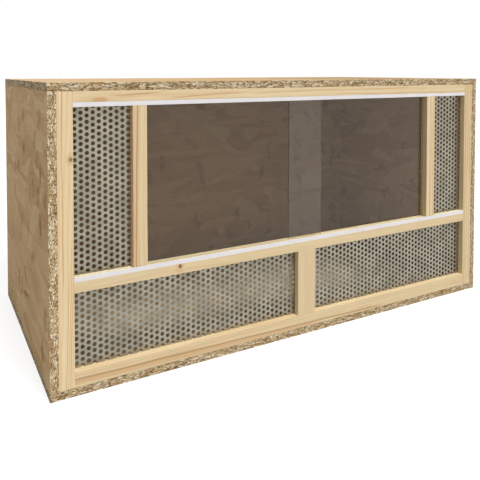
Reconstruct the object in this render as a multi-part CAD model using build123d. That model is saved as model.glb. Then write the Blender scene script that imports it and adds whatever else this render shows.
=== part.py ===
from build123d import *
import os

# A front-opening terrarium: a box of strand board with a front frame of pine battens.
# Two glass panes slide in plastic tracks, and perforated sheets air the other bays.
# All sizes are in millimetres. The origin is the middle of the base, the front faces -Y.

# Overall size
overall_width = 1080.0
overall_depth = 540.0
overall_height = 550.0
board_thickness = 15.0

# Battens of the front frame
batten_face = 28.0
batten_depth = 20.0
post_face = 45.0
post_depth = 13.0
mullion_face = 27.5
upper_vent_width = 107.0
lower_bay_height = 139.0

# Glass panes
glass_thickness = 4.0
glass_overlap = 80.0
glass_arris = 0.5
glass_side_clearance = 0.3
glass_end_clearance = 0.5
glass_floor_clearance = 0.3
glass_top_entry = 3.4

# Double-groove tracks of the panes
track_height = 8.5
track_flange = 3.5
lower_groove_depth = 3.2
upper_groove_depth = 7.0

# Perforated sheets and the saw kerfs that hold their edges
sheet_thickness = 1.0
kerf_depth = 6.0
kerf_clearance = 0.25
sheet_edge_clearance = 0.8
hole_diameter = 7.0
hole_sides = 6
column_pitch = 10.8
row_pitch = 11.0
hole_step = 2
sheet_border = 10.0

# Countersunk screws through the top and bottom boards
screw_length = 30.0
screw_radius = 2.0
screw_head_radius = 4.0
screw_clearance = 0.1
front_screw_shares = (0.3, 0.7)
side_screw_shares = (0.5, 0.88)
back_screw_shares = (0.12, 0.5, 0.88)

# Wooden dowels that join the battens end to side
dowel_radius = 3.0
dowel_length = 30.0
dowel_clearance = 0.1
dowel_end_gap = 0.8

# Flat sides round every screw and dowel
fastener_sides = 8

# How far every cutting solid runs past the face that it cuts
overrun = 1.0

# Places worked out from the sizes
half_width = overall_width / 2
half_depth = overall_depth / 2
front = -half_depth
inner_x = half_width - board_thickness
inner_back = half_depth - board_thickness
floor_z = board_thickness
ceiling_z = overall_height - board_thickness
bay_x = inner_x - batten_face
mullion_x = bay_x - upper_vent_width
door_x = mullion_x - mullion_face
frame_back = front + batten_depth
frame_middle = front + batten_depth / 2

lower_bay_floor = floor_z + batten_face
lower_bay_top = lower_bay_floor + lower_bay_height
upper_bay_floor = lower_bay_top + batten_face
upper_bay_top = ceiling_z - batten_face
lower_track_base = upper_bay_floor - track_height
upper_track_base = upper_bay_top + track_height

groove_width = glass_thickness + 2 * glass_side_clearance
track_web = batten_depth - 2 * track_flange - 2 * groove_width
front_groove = front + track_flange
rear_groove = front_groove + groove_width + track_web
sheet_front = rear_groove + (groove_width - sheet_thickness) / 2
sheet_back = sheet_front + sheet_thickness
kerf_reach = kerf_depth - sheet_edge_clearance

pane_bottom = upper_bay_floor - lower_groove_depth + glass_floor_clearance
pane_top = upper_bay_top + glass_top_entry
pane_length = door_x + glass_overlap / 2 - glass_end_clearance


def board(low, high):
    """A square-edged board between its lowest and its highest corner."""
    size = Vector(*high) - Vector(*low)
    return Pos(*low) * Box(size.X, size.Y, size.Z, align=Align.MIN)


def kerf(low_x, high_x, low_z, high_z):
    """The saw cut that takes the edge of a perforated sheet, between two heights and two widths."""
    low = (low_x, sheet_front - kerf_clearance, low_z)
    return board(low, (high_x, sheet_back + kerf_clearance, high_z))


def countersunk_screw(clearance=0.0):
    """One screw, head up with its top at the origin; with a clearance it is its own drilled hole."""
    head = RegularPolygon(screw_head_radius + clearance, fastener_sides)
    shank = RegularPolygon(screw_radius + clearance, fastener_sides)
    neck_z = screw_radius - screw_head_radius
    sections = [head, Pos(0, 0, neck_z) * shank, Pos(0, 0, -screw_length - clearance) * shank]
    return loft(sections, ruled=True)


def dowel(clearance=0.0, end_gap=0.0):
    """One dowel about the origin along Z, or with a clearance and an end gap its drilled holes."""
    section = RegularPolygon(dowel_radius + clearance, fastener_sides)
    return extrude(section, amount=dowel_length / 2 + end_gap, both=True)


def panel_screw_places():
    """Where the screws of the top board stand, seen from above; the bottom board has the same."""
    side_x = half_width - board_thickness / 2
    stile_x = inner_x - batten_face / 4
    back_y = half_depth - board_thickness / 2
    places = [(-inner_x + share * 2 * inner_x, frame_middle) for share in front_screw_shares]
    for side in (-1, 1):
        places.append((side * stile_x, frame_middle))
        places += [(side * side_x, front + share * overall_depth) for share in side_screw_shares]
    places += [(-inner_x + share * 2 * inner_x, back_y) for share in back_screw_shares]
    return places


def top_screw_set(clearance=0.0):
    """The screws that go down through the top board."""
    one = countersunk_screw(clearance)
    return [Pos(x, y, overall_height) * one for x, y in panel_screw_places()]


def bottom_screw_set(clearance=0.0):
    """The screws that go up through the bottom board."""
    one = Rot(180, 0, 0) * countersunk_screw(clearance)
    return [Pos(x, y, 0) * one for x, y in panel_screw_places()]


def rail_dowel_set(clearance=0.0, end_gap=0.0):
    """The level dowels between the three rails and the stiles."""
    one = Rot(0, 90, 0) * dowel(clearance, end_gap)
    heights = (
        (floor_z + lower_bay_floor) / 2,
        (lower_bay_top + lower_track_base) / 2,
        (upper_track_base + ceiling_z) / 2,
    )
    return [Pos(side * bay_x, frame_middle, z) * one for z in heights for side in (-1, 1)]


def mullion_dowel_set(clearance=0.0, end_gap=0.0):
    """The upright dowels that run from each end of a mullion through the track into the rail."""
    one = dowel(clearance, end_gap)
    x = mullion_x - mullion_face / 2
    heights = (lower_track_base + track_height / 2, upper_track_base - track_height / 2)
    return [Pos(side * x, frame_middle, z) * one for z in heights for side in (-1, 1)]


def post_dowel_set(clearance=0.0, end_gap=0.0):
    """The upright dowels at the two ends of the centre post."""
    one = dowel(clearance, end_gap)
    y = front + post_depth / 2
    return [Pos(0, y, z) * one for z in (lower_bay_floor, lower_bay_top)]


def drilled(piece):
    """A wooden piece with the holes of every screw and dowel that enters it."""
    holes = top_screw_set(screw_clearance) + bottom_screw_set(screw_clearance)
    for dowels in (rail_dowel_set, mullion_dowel_set, post_dowel_set):
        holes += dowels(dowel_clearance, dowel_end_gap)
    bounds = piece.bounding_box()
    met = [hole for hole in holes if bounds.overlaps(hole.bounding_box())]
    return piece - met if met else piece


def top_panel():
    """The top board, over the whole box."""
    return drilled(board((-half_width, front, ceiling_z), (half_width, half_depth, overall_height)))


def bottom_panel():
    """The bottom board, under the whole box."""
    return drilled(board((-half_width, front, 0), (half_width, half_depth, floor_z)))


def side_panel(side):
    """A side board between the top and the bottom board; side is -1 for left and 1 for right."""
    outer = side * half_width
    inner = side * inner_x
    low = (min(outer, inner), front, floor_z)
    return drilled(board(low, (max(outer, inner), half_depth, ceiling_z)))


def back_panel():
    """The back board, set in between the sides."""
    return drilled(board((-inner_x, inner_back, floor_z), (inner_x, half_depth, ceiling_z)))


def stile(side):
    """An upright batten beside a side board, with the kerf of the sheets down its inner face."""
    outer = side * inner_x
    inner = side * bay_x
    bottom = inner + side * kerf_depth
    past = inner - side * overrun
    low = (min(outer, inner), front, floor_z)
    batten = board(low, (max(outer, inner), frame_back, ceiling_z))
    return drilled(batten - kerf(min(bottom, past), max(bottom, past), floor_z, ceiling_z))


def rail(low_z, high_z):
    """A level batten between the stiles."""
    return board((-bay_x, front, low_z), (bay_x, frame_back, high_z))


def bottom_rail():
    """The lowest rail, with a kerf along its top for the lower sheet."""
    cut = kerf(-half_width, half_width, lower_bay_floor - kerf_depth, lower_bay_floor + overrun)
    return drilled(rail(floor_z, lower_bay_floor) - cut)


def middle_rail():
    """The rail that carries the lower track, with a kerf below for the lower sheet."""
    cut = kerf(-half_width, half_width, lower_bay_top - overrun, lower_bay_top + kerf_depth)
    return drilled(rail(lower_bay_top, lower_track_base) - cut)


def top_rail():
    """The rail that carries the upper track."""
    return drilled(rail(upper_track_base, ceiling_z))


def mullion(side):
    """An upright batten between the tracks, with a kerf on the side of the upper vent."""
    outer = side * mullion_x
    inner = side * door_x
    bottom = outer - side * kerf_depth
    past = outer + side * overrun
    low = (min(outer, inner), front, upper_bay_floor)
    batten = board(low, (max(outer, inner), frame_back, upper_bay_top))
    return drilled(batten - kerf(min(bottom, past), max(bottom, past), 0, overall_height))


def centre_post():
    """The flat post in front of the lower sheet."""
    low = (-post_face / 2, front, lower_bay_floor)
    return drilled(board(low, (post_face / 2, front + post_depth, lower_bay_top)))


def track(groove_depth):
    """A length of the double-groove track on its back at the origin, grooves up."""
    root = track_height - groove_depth
    second = track_flange + groove_width + track_web
    points = [(0, 0), (0, track_height)]
    for start in (track_flange, second):
        points += [(start, track_height), (start, root)]
        points += [(start + groove_width, root), (start + groove_width, track_height)]
    points += [(batten_depth, track_height), (batten_depth, 0)]
    section = make_face(Plane.YZ * Polyline(*points, close=True))
    return Pos(-bay_x, 0, 0) * extrude(section, amount=2 * bay_x, dir=(1, 0, 0))


def lower_track():
    """The shallow track on the middle rail."""
    return drilled(Pos(0, front, lower_track_base) * track(lower_groove_depth))


def upper_track():
    """The deep track under the top rail, which lets a pane be lifted out of the lower one."""
    deep = mirror(track(upper_groove_depth), about=Plane.XY)
    return drilled(Pos(0, front, upper_track_base) * deep)


def glass_pane(side):
    """A sliding pane: the left one runs in the front groove and the right one in the rear."""
    groove = front_groove if side < 0 else rear_groove
    end = side * (door_x - glass_end_clearance)
    other = end - side * pane_length
    low = (min(end, other), groove + glass_side_clearance, pane_bottom)
    high = (max(end, other), groove + glass_side_clearance + glass_thickness, pane_top)
    return chamfer(board(low, high).edges(), glass_arris)


def hole_places(width, height):
    """The hole centres on a sheet of this size, in columns that are staggered by half a row."""
    step_x = column_pitch * hole_step
    step_y = row_pitch * hole_step
    reach_x = width / 2 - sheet_border
    reach_y = height / 2 - sheet_border
    columns = int(reach_x // step_x)
    rows = int(reach_y // step_y) + 1
    places = []
    for column in range(-columns, columns + 1):
        shift = step_y / 2 if column % 2 else 0
        heights = [row * step_y + shift for row in range(-rows, rows + 1)]
        places += [(column * step_x, y) for y in heights if abs(y) <= reach_y]
    return places


def perforated_sheet(low_x, high_x, low_z, high_z):
    """A thin sheet in the plane of the kerfs, perforated up to its blank border."""
    width = high_x - low_x
    height = high_z - low_z
    hole = RegularPolygon(hole_diameter / 2, hole_sides)
    holes = [(Pos(x, y) * hole).wire() for x, y in hole_places(width, height)]
    face = Face(Rectangle(width, height).wire(), holes)
    middle = ((low_x + high_x) / 2, sheet_back, (low_z + high_z) / 2)
    plane = Plane(origin=middle, x_dir=(1, 0, 0), z_dir=(0, -1, 0))
    return extrude(plane * face, amount=sheet_thickness)


def upper_vent(side):
    """A tall sheet between a stile and a mullion, with its ends in the rear grooves."""
    edges = (side * (bay_x + kerf_reach), side * (mullion_x - kerf_reach))
    low_z = upper_bay_floor - lower_groove_depth + sheet_edge_clearance
    return perforated_sheet(min(edges), max(edges), low_z, upper_bay_top + kerf_reach)


def lower_vent():
    """The long sheet of the lower bays, which passes behind the centre post."""
    reach = bay_x + kerf_reach
    low_z = lower_bay_floor - kerf_reach
    return perforated_sheet(-reach, reach, low_z, lower_bay_top + kerf_reach)


nodes = {
    "bottom_panel": bottom_panel(),
    "top_panel": top_panel(),
    "left_side_panel": side_panel(-1),
    "right_side_panel": side_panel(1),
    "back_panel": back_panel(),
    "left_stile": stile(-1),
    "right_stile": stile(1),
    "bottom_rail": bottom_rail(),
    "middle_rail": middle_rail(),
    "top_rail": top_rail(),
    "left_mullion": mullion(-1),
    "right_mullion": mullion(1),
    "centre_post": centre_post(),
    "lower_track": lower_track(),
    "upper_track": upper_track(),
    "left_glass_pane": glass_pane(-1),
    "right_glass_pane": glass_pane(1),
    "upper_left_vent": upper_vent(-1),
    "upper_right_vent": upper_vent(1),
    "lower_vent": lower_vent(),
    "top_panel_screws": Compound(top_screw_set()),
    "bottom_panel_screws": Compound(bottom_screw_set()),
    "rail_dowels": Compound(rail_dowel_set()),
    "mullion_dowels": Compound(mullion_dowel_set()),
    "post_dowels": Compound(post_dowel_set()),
}

os.makedirs("parts", exist_ok=True)
for name, shape in nodes.items():
    export_step(shape, f"parts/{name}.step")
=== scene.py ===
import logging
import math
from dataclasses import dataclass, field
from enum import Enum
from typing import Iterable, Optional, Sequence, Union

import bmesh
import bpy
from mathutils import Matrix, Vector


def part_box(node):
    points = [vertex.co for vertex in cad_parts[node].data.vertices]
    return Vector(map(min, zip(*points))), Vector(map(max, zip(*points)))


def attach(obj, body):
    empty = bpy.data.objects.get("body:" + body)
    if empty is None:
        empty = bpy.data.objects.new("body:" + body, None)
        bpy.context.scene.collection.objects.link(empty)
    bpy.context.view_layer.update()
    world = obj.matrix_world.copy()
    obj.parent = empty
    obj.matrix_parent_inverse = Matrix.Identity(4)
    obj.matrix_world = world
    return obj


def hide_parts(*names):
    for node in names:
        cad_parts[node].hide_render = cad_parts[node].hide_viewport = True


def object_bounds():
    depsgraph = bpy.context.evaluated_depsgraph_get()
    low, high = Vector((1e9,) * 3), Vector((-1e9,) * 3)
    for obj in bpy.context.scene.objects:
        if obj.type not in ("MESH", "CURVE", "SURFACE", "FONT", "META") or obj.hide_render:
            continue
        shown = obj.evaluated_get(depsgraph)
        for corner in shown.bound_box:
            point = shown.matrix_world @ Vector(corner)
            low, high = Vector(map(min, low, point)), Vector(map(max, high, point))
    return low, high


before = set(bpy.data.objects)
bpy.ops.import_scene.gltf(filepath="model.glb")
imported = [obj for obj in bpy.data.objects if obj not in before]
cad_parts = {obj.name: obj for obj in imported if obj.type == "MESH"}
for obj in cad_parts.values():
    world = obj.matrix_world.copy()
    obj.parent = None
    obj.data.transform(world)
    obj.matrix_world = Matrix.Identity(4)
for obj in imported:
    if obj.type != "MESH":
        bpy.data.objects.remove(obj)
CAD_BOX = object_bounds()
LOG = logging.getLogger("terrarium")
MM = 0.001
# In metres: how far apart two places may lie and still count as one, and the same for cuts and tips.
TOUCHING = 1e-5
SAME_PLACE = 1e-6
# In millimetres: past both ends of every batten.
BEYOND = 900.0
ORIGIN = (0.0, 0.0, 0.0)
WHITE = (1.0, 1.0, 1.0, 1.0)

Socket = bpy.types.NodeSocket
Value = Union[float, Sequence[float], Socket]
Paint = tuple[int, int, int]
ShaderColour = tuple[float, float, float, float]
Profile = list[tuple[float, float]]


class Axis(Enum):
    """An axis of the row frame, by its place in a vector."""

    X = 0
    Y = 1
    Z = 2


class Body(Enum):
    """A CAD body that a piece rides on."""

    CASE = "case"
    LEFT_PANE = "left_pane"
    RIGHT_PANE = "right_pane"


class Slot(Enum):
    """A material slot of the record."""

    PINE = "pine_batten"
    TRACK = "track_plastic"
    GLASS = "pane_glass"
    SHEET = "perforated_sheet"
    SCREW = "screw_steel"


def linear(colour: Paint) -> ShaderColour:
    """Turns a display colour into a shader colour.

    Args:
        colour: Red, green and blue, from 0 to 255.

    Returns:
        The same colour in linear light, with an alpha of 1.
    """
    shares = [part / 255 for part in colour]
    parts = [s / 12.92 if s <= 0.04045 else ((s + 0.055) / 1.055) ** 2.4 for s in shares]
    return (parts[0], parts[1], parts[2], 1.0)


def grey(tone: float) -> ShaderColour:
    """Returns an even shader colour that lightens or darkens what it multiplies."""
    return (tone, tone, tone, 1.0)


class Graph:
    """Lays shader nodes in one tree and wires them."""

    def __init__(self, tree: bpy.types.NodeTree) -> None:
        """Keeps the tree that the nodes go in."""
        self.tree = tree

    def node(self, kind: str, inputs: Optional[dict] = None, **settings) -> bpy.types.Node:
        """Adds one node.

        Args:
            kind: Blender's name of the node, without ShaderNode in front.
            inputs: Values or sockets, by the name or number of the input.
            settings: Properties of the node.

        Returns:
            The new node.
        """
        made = self.tree.nodes.new("ShaderNode" + kind)
        for name, value in settings.items():
            setattr(made, name, value)
        for key, value in (inputs or {}).items():
            self.feed(made.inputs[key], value)
        return made

    def feed(self, socket: Socket, value: Value) -> None:
        """Wires a socket to an input, or sets the input's own value.

        Args:
            socket: The input.
            value: A socket to wire, or a plain value.
        """
        if isinstance(value, Socket):
            self.tree.links.new(value, socket)
        else:
            socket.default_value = value

    def maths(self, operation: str, *values: Value) -> Socket:
        """Returns the result of a Math node."""
        return self.node("Math", dict(enumerate(values)), operation=operation).outputs[0]

    def plus(self, first: Value, second: Value) -> Socket:
        """Returns the sum of two numbers."""
        return self.maths("ADD", first, second)

    def minus(self, first: Value, second: Value) -> Socket:
        """Returns the first number less the second."""
        return self.maths("SUBTRACT", first, second)

    def times(self, first: Value, *others: Value) -> Socket:
        """Multiplies numbers.

        Args:
            first: The first number.
            others: One or more numbers to multiply it by.

        Returns:
            The product.
        """
        for other in others:
            first = self.maths("MULTIPLY", first, other)
        return first

    def over(self, first: Value, second: Value) -> Socket:
        """Returns the first number divided by the second."""
        return self.maths("DIVIDE", first, second)

    def most(self, first: Value, second: Value) -> Socket:
        """Returns the larger of two numbers."""
        return self.maths("MAXIMUM", first, second)

    def size(self, value: Value) -> Socket:
        """Returns a number without its sign."""
        return self.maths("ABSOLUTE", value)

    def vector(self, operation: str, *values: Value) -> Socket:
        """Returns the vector that a Vector Math node gives."""
        return self.node("VectorMath", dict(enumerate(values)), operation=operation).outputs["Vector"]

    def scaled(self, vector: Socket, factor: Value) -> Socket:
        """Returns a vector times one number."""
        return self.node("VectorMath", {0: vector, "Scale": factor}, operation="SCALE").outputs["Vector"]

    def reach(self, vector: Socket) -> Socket:
        """Returns the length of a vector."""
        return self.node("VectorMath", {0: vector}, operation="LENGTH").outputs["Value"]

    def turned(self, vector: Socket, angle: Value) -> Socket:
        """Returns a vector turned about Z."""
        inputs = {"Vector": vector, "Angle": angle}
        return self.node("VectorRotate", inputs, rotation_type="Z_AXIS").outputs[0]

    def parts(self, vector: Value) -> tuple[Socket, Socket, Socket]:
        """Returns the three numbers of a vector."""
        found = self.node("SeparateXYZ", {0: vector}).outputs
        return found[0], found[1], found[2]

    def joined(self, x: Value, y: Value, z: Value) -> Socket:
        """Returns a vector of three numbers."""
        return self.node("CombineXYZ", {0: x, 1: y, 2: z}).outputs[0]

    def between(self, share: Value, first: Value, second: Value) -> Socket:
        """Returns two numbers mixed; 0, 2 and 3 are the Mix node's sockets for numbers."""
        return self.node("Mix", {0: share, 2: first, 3: second}).outputs[0]

    def mix(self, share: Value, first: Value, second: Value, blend: str = "MIX") -> Socket:
        """Returns two colours mixed; 6 and 7 are the Mix node's sockets for colours.

        Args:
            share: How much of the second colour there is.
            first: The colour at share 0.
            second: The colour at share 1.
            blend: Blender's name of the way to mix.

        Returns:
            The mixed colour.
        """
        inputs = {0: share, 6: first, 7: second}
        return self.node("Mix", inputs, data_type="RGBA", blend_type=blend).outputs[2]

    def tinted(self, colour: Value, tint: Value) -> Socket:
        """Returns a colour multiplied by another."""
        return self.mix(1.0, colour, tint, "MULTIPLY")

    def shaded(self, colour: Value, shade: Socket) -> Socket:
        """Returns a colour multiplied by a number."""
        return self.tinted(colour, self.joined(shade, shade, shade))

    def span(self, value: Value, low: Value, high: Value, start: Value = 0.0, end: Value = 1.0) -> Socket:
        """Turns a value between low and high smoothly into one between start and end."""
        inputs = {0: value, 1: low, 2: high, 3: start, 4: end}
        return self.node("MapRange", inputs, interpolation_type="SMOOTHSTEP").outputs[0]

    def fade(self, value: Value, low: Value, high: Value, start: Value = 1.0) -> Socket:
        """Turns a value between low and high smoothly into one that falls from start to 0."""
        return self.span(value, low, high, start, 0.0)

    def noise(self, vector: Socket, scale: float = 1.0, detail: float = 2.0, rough: float = 0.5,
              output: str = "Fac") -> Socket:
        """Returns soft noise.

        Args:
            vector: Where to look.
            scale: How many waves there are to a unit of length.
            detail: How many finer waves lie on the first.
            rough: How strong the finer waves are.
            output: Fac for a number, or Color for three numbers.

        Returns:
            Noise around 0.5.
        """
        inputs = {"Vector": vector, "Scale": scale, "Detail": detail, "Roughness": rough}
        return self.node("TexNoise", inputs).outputs[output]

    def wobble(self, vector: Socket, scale: float = 1.0, detail: float = 2.0, rough: float = 0.5) -> Socket:
        """Returns a noise vector that swings round zero, by the values that noise takes."""
        return self.vector("SUBTRACT", self.noise(vector, scale, detail, rough, "Color"), (0.5, 0.5, 0.5))

    def cells(self, vector: Socket) -> tuple[Socket, Socket]:
        """Lays flat cells one unit wide.

        Args:
            vector: Where to look.

        Returns:
            A random colour for each cell, and the distance to the cell's border.
        """
        inputs = {"Vector": vector, "Scale": 1.0}
        random, border = (self.node("TexVoronoi", inputs, voronoi_dimensions="2D", feature=feature)
                          for feature in ("F1", "DISTANCE_TO_EDGE"))
        return random.outputs["Color"], border.outputs["Distance"]

    def ramp(self, value: Value, stops: Sequence[tuple[float, Paint]]) -> Socket:
        """Returns the colour of a ramp.

        Args:
            value: Where on the ramp to look, from 0 to 1.
            stops: Places on the ramp with their display colours.

        Returns:
            The colour found.
        """
        made = self.node("ValToRGB", {0: value})
        elements = made.color_ramp.elements
        while len(elements) < len(stops):
            elements.new(0.5)
        for element, (place, colour) in zip(elements, stops):
            element.position = place
            element.color = linear(colour)
        return made.outputs[0]

    def bump(self, height: Socket, depth: float) -> Socket:
        """Returns a normal pushed in and out by a height, depth metres at most."""
        return self.node("Bump", {"Height": height, "Distance": depth, "Strength": 1.0}).outputs[0]

    def effect(self, shared: "SharedEffect", inputs: dict) -> bpy.types.bpy_prop_collection:
        """Places a shared effect.

        Args:
            shared: The effect to place.
            inputs: Values or sockets for its named inputs.

        Returns:
            The outputs of the placed effect, by name.
        """
        made = self.tree.nodes.new("ShaderNodeGroup")
        made.node_tree = shared.tree
        for key, value in inputs.items():
            self.feed(made.inputs[key], value)
        return made.outputs


class SharedEffect(Graph):
    """A shader node group with named inputs and outputs, built once."""

    inputs: dict[str, object] = {}
    outputs: tuple[str, ...] = ()

    def __init__(self) -> None:
        """Makes the group's sockets and lays its nodes."""
        super().__init__(bpy.data.node_groups.new(type(self).__name__, "ShaderNodeTree"))
        face = self.tree.interface
        for name, default in self.inputs.items():
            kind = "Float" if isinstance(default, float) else "Vector"
            face.new_socket(name, in_out="INPUT", socket_type="NodeSocket" + kind).default_value = default
        for name in self.outputs:
            kind = "Color" if name.endswith("Color") else "Vector" if name.endswith("Vector") else "Float"
            face.new_socket(name, in_out="OUTPUT", socket_type="NodeSocket" + kind)
        self.source = self.tree.nodes.new("NodeGroupInput").outputs
        self.drain = self.tree.nodes.new("NodeGroupOutput").inputs
        self.lay()

    def give(self, **results: Socket) -> None:
        """Wires results to the outputs of their names; an underscore stands for a space."""
        for name, value in results.items():
            self.feed(self.drain[name.replace("_", " ")], value)

    def lay(self) -> None:
        """Lays the effect's nodes."""
        raise NotImplementedError


class FlakeLayer(SharedEffect):
    """One layer of long wood flakes that all lie nearly the same way. Lengths are in millimetres."""

    inputs = {"Vector": ORIGIN, "Turn": 0.0, "Length": 90.0, "Width": 20.0}
    outputs = ("Random Color", "Border", "Fibre Vector")
    seam = 0.07
    fibre_waves = (0.022, 0.3, 0.0)
    fibre_spread = 40.0

    def lay(self) -> None:
        """Lays stretched cells, and the place along the fibres of each."""
        turned = self.turned(self.source["Vector"], self.source["Turn"])
        sizes = self.joined(self.source["Length"], self.source["Width"], 1.0)
        random, border = self.cells(self.vector("DIVIDE", turned, sizes))
        along = self.vector("MULTIPLY", turned, self.fibre_waves)
        self.give(Random_Color=random, Border=self.span(border, 0.0, self.seam),
                  Fibre_Vector=self.vector("ADD", along, self.scaled(random, self.fibre_spread)))


@dataclass(frozen=True)
class FlakeCoat:
    """How one layer of flakes lies on a board.

    The turn is in degrees from the long way of the board, and the lengths are in millimetres. The shift
    keeps two coats from sharing one pattern, and bare is the share of the board that the coat doesn't cover.
    """

    turn: float
    length: float
    width: float
    shift: float = 0.0
    bare: float = 0.0
    border: float = 0.03


class StrandFace(SharedEffect):
    """The wide face of strand board, across Z: pale flakes over each other, with a few dark strokes."""

    inputs = {"Vector": ORIGIN, "Strokes": 0.6}
    outputs = ("Color", "Rough", "Height")
    torn = (44.0, 16.0, 0.0)
    under = FlakeCoat(12.0, 150.0, 58.0)
    coats = (FlakeCoat(-38.0, 130.0, 42.0, 310.0, 0.5), FlakeCoat(62.0, 110.0, 34.0, 730.0, 0.6),
             FlakeCoat(-8.0, 90.0, 24.0, 1270.0, 0.68))
    strokes = FlakeCoat(84.0, 46.0, 12.0, 2110.0, 0.93, 0.02)
    pale = ((0.1, (210, 171, 122)), (0.45, (228, 193, 145)), (0.75, (236, 203, 156)), (1.0, (243, 215, 172)))
    warm_tint = (228, 190, 148)
    # colour of the flake borders: real dark joints with painted shadow
    joint_and_shadow_colour = (150, 106, 64)
    stroke_colour = (126, 84, 46)

    def __init__(self, flakes: FlakeLayer) -> None:
        """Keeps the flake layer that the face is made of."""
        self.flakes = flakes
        super().__init__()

    def layer(self, place: Socket, coat: FlakeCoat) -> dict[str, Socket]:
        """Places one flake layer.

        Args:
            place: The place on the board.
            coat: How its flakes lie.

        Returns:
            The layer's sockets: cover, tone, warm, border and fibre.
        """
        moved = self.vector("ADD", place, (coat.shift, coat.shift, 0.0))
        found = self.effect(self.flakes, {"Vector": moved, "Turn": math.radians(coat.turn),
                                          "Length": coat.length, "Width": coat.width})
        cover, tone, warm = self.parts(found["Random Color"])
        return {"cover": cover, "tone": tone, "warm": warm, "border": found["Border"],
                "fibre": found["Fibre Vector"]}

    def mask(self, layer: dict[str, Socket], coat: FlakeCoat) -> Socket:
        """Returns 1 where a layer hides the one under it, and 0 where it is bare."""
        return self.span(layer["cover"], coat.bare, coat.bare + coat.border)

    def lay(self) -> None:
        """Lays four flake layers over each other and colours them."""
        board = self.source["Vector"]
        ragged = self.wobble(board, scale=0.035, detail=4.0, rough=0.62)
        place = self.vector("ADD", board, self.vector("MULTIPLY", ragged, self.torn))
        under = self.layer(place, self.under)
        tone, along, warm, height = under["tone"], under["fibre"], under["warm"], under["border"]
        # The border mask starts here: real dark joints, and painted shadow along each upper flake's rim.
        joints_and_shadow = self.minus(1.0, height)
        for coat in self.coats:
            upper = self.layer(place, coat)
            mask = self.mask(upper, coat)
            tone = self.between(mask, tone, upper["tone"])
            warm = self.between(mask, warm, upper["warm"])
            along = self.mix(mask, along, upper["fibre"])
            height = self.plus(height, self.times(mask, upper["border"]))
            rim = self.times(mask, self.minus(1.0, upper["border"]))
            joints_and_shadow = self.most(self.times(joints_and_shadow, self.minus(1.0, mask)), rim)
        fibre = self.noise(along, detail=4.0, rough=0.6)
        strokes = self.layer(place, self.strokes)
        stroke = self.times(self.mask(strokes, self.strokes), strokes["border"], self.source["Strokes"])
        mixed = self.plus(self.times(tone, 0.6), self.times(self.noise(board, scale=0.009), 0.4))
        colour = self.ramp(mixed, self.pale)
        colour = self.mix(self.span(warm, 0.6, 1.0, 0.0, 0.22), colour, linear(self.warm_tint), "MULTIPLY")
        colour = self.shaded(colour, self.span(fibre, 0.25, 0.7, 0.88, 1.04))
        # Darkens the flake borders: real dark joints, with painted shadow along the rim of each upper flake.
        colour = self.mix(self.times(joints_and_shadow, 0.16), colour, linear(self.joint_and_shadow_colour))
        self.give(Color=self.mix(stroke, colour, linear(self.stroke_colour)),
                  Rough=self.span(fibre, 0.2, 0.8, 0.92, 0.76),
                  Height=self.minus(self.plus(height, self.times(fibre, 0.5)), stroke))


class StrandEdge(SharedEffect):
    """The sawn edge of strand board: short ends of flakes with dark gaps. Y is the board's thickness."""

    inputs = {"Vector": ORIGIN}
    outputs = ("Color", "Rough", "Height")
    bend = 8.0
    chip = (8.0, 2.7, 1.0)
    gap_waves = (0.13, 0.5, 0.0)
    chips = ((0.0, (187, 153, 105)), (0.5, (230, 202, 157)), (1.0, (253, 236, 204)))
    gap_colour = (80, 56, 28)

    def lay(self) -> None:
        """Lays flat chips with gaps between them."""
        place = self.source["Vector"]
        bent = self.vector("ADD", place, self.scaled(self.wobble(place, scale=0.2), self.bend))
        random, border = self.cells(self.vector("DIVIDE", bent, self.chip))
        holes = self.noise(self.vector("MULTIPLY", bent, self.gap_waves), detail=3.0, rough=0.65)
        gap = self.most(self.fade(border, 0.02, 0.12, 0.9), self.fade(holes, 0.37, 0.45))
        specks = self.noise(place, scale=0.9)
        colour = self.ramp(self.parts(random)[0], self.chips)
        colour = self.shaded(colour, self.span(specks, 0.3, 0.7, 0.88, 1.05))
        self.give(Color=self.mix(self.times(gap, 0.95), colour, linear(self.gap_colour)),
                  Rough=self.span(gap, 0.0, 1.0, 0.85, 0.97),
                  Height=self.minus(self.times(specks, 0.3), gap))


class BoardMark(SharedEffect):
    """A dark mark on a board with torn borders: a thin core in a wider spread. Lengths in millimetres."""

    inputs = {"Vector": ORIGIN, "Middle": ORIGIN, "Size": (50.0, 20.0, 1.0), "Turn": 0.0}
    outputs = ("Stain", "Core")
    torn = 0.9

    def lay(self) -> None:
        """Lays the stain and its core."""
        away = self.vector("SUBTRACT", self.source["Vector"], self.source["Middle"])
        share = self.vector("DIVIDE", self.turned(away, self.source["Turn"]), self.source["Size"])
        torn = self.scaled(self.wobble(away, scale=0.08, detail=3.0, rough=0.6), self.torn)
        share = self.vector("ADD", share, torn)
        x, y, _ = self.parts(share)
        reach = self.maths("SQRT", self.plus(self.times(x, x), self.times(y, y)))
        self.give(Stain=self.fade(reach, 0.35, 1.1),
                  Core=self.times(self.fade(self.size(y), 0.06, 0.3), self.fade(reach, 0.5, 0.9)))


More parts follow.
